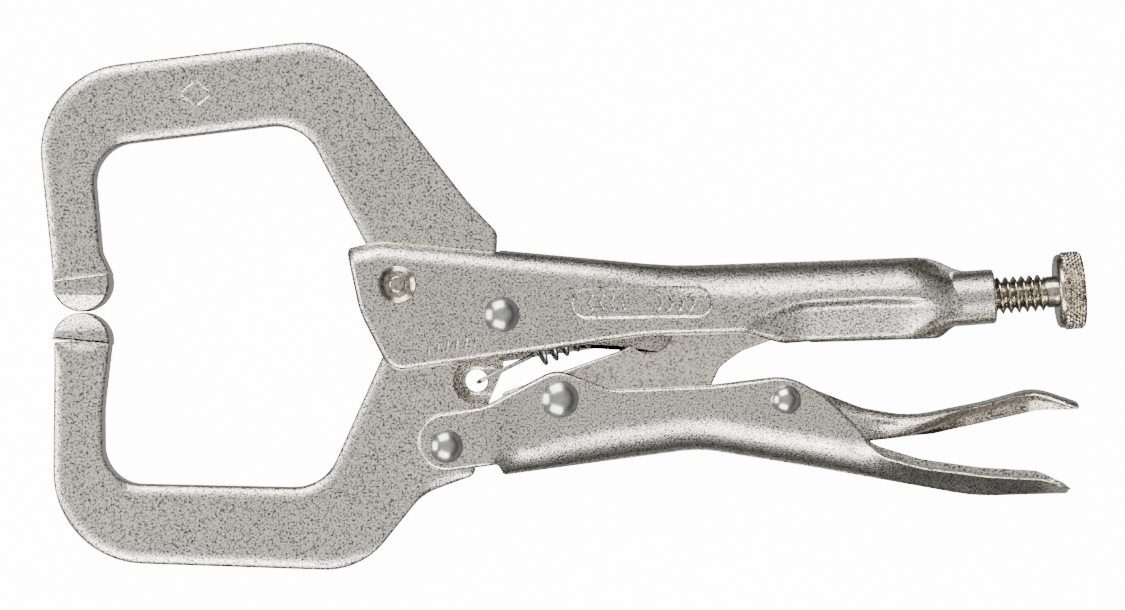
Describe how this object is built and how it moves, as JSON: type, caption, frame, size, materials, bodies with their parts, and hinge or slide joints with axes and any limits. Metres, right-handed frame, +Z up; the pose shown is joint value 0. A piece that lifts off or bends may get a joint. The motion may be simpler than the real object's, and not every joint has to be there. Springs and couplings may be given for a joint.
{
  "type": "locking pliers",
  "caption": "Locking pliers with deep C-shaped jaws: two small pads clamp the work, a toggle link locks them, a knurled screw sets the gap and a finger lever frees them.",
  "frame": {"origin": "middle of the tool's footprint with the jaws closed and locked, on the surface it lies on", "axes": "+X along the tool towards the adjusting knob, +Y towards the fixed jaw, +Z up along the pivots' axes, out of the side with the stamped marks"},
  "size_m": [0.1518, 0.0766, 0.0126],
  "materials": {
    "jaw_steel": "satin nickel plate over forged bar",
    "handle_steel": "satin nickel plate over pressed sheet",
    "rivet_steel": "polished nickel plate",
    "link_steel": "satin nickel plate, slightly duller",
    "screw_steel": "bright nickel plate",
    "spring_steel": "dark drawn spring wire"
  },
  "bodies": {
    "frame": {"fixed_handle": "handle_steel", "fixed_jaw": "jaw_steel", "stake_rivet": "rivet_steel", "jaw_rivet": "rivet_steel", "return_spring": "spring_steel"},
    "jaw": {"moving_jaw": "jaw_steel"},
    "grip": {"lever": "handle_steel", "lever_rivet": "rivet_steel", "link_rivet": "rivet_steel", "release_rivet": "rivet_steel"},
    "link": {"toggle_link": "link_steel"},
    "release": {"release_lever": "handle_steel"},
    "screw": {"adjusting_screw": "screw_steel"},
    "knob": {"adjusting_knob": "screw_steel"}
  },
  "joints": [
    {"name": "jaw_open", "type": "hinge", "parent": "frame", "child": "jaw", "pos_m": [-0.00899, -0.00125, 0.0063], "axis": [0, 0, 1], "range_deg": [0, 24], "deforming": ["return_spring"]},
    {"name": "lever_swing", "type": "hinge", "parent": "jaw", "child": "grip", "pos_m": [-0.01699, -0.02025, 0.0063], "axis": [0, 0, 1], "range_deg": [-63, 0]},
    {"name": "link_swing", "type": "hinge", "parent": "grip", "child": "link", "pos_m": [-0.00059, -0.01345, 0.0063], "axis": [0, 0, 1], "range_deg": [0, 69]},
    {"name": "release_squeeze", "type": "hinge", "parent": "grip", "child": "release", "pos_m": [0.03211, -0.01355, 0.0063], "axis": [0, 0, 1], "range_deg": [-7, 0]},
    {"name": "screw_travel", "type": "slide", "parent": "frame", "child": "screw", "axis": [0.9972, 0.075, 0], "range_m": [0, 0.0117]},
    {"name": "knob_spin", "type": "hinge", "parent": "screw", "child": "knob", "pos_m": [0.07349, 0.00225, 0.0063], "axis": [0.9972, 0.075, 0], "range_deg": [0, 3600]}
  ],
  "couplings": [
    {"joint": "lever_swing", "follows": "jaw_open", "ratio": -2.62},
    {"joint": "link_swing", "follows": "jaw_open", "ratio": 2.87},
    {"joint": "knob_spin", "follows": "screw_travel", "rad_per_m": 5370}
  ]
}
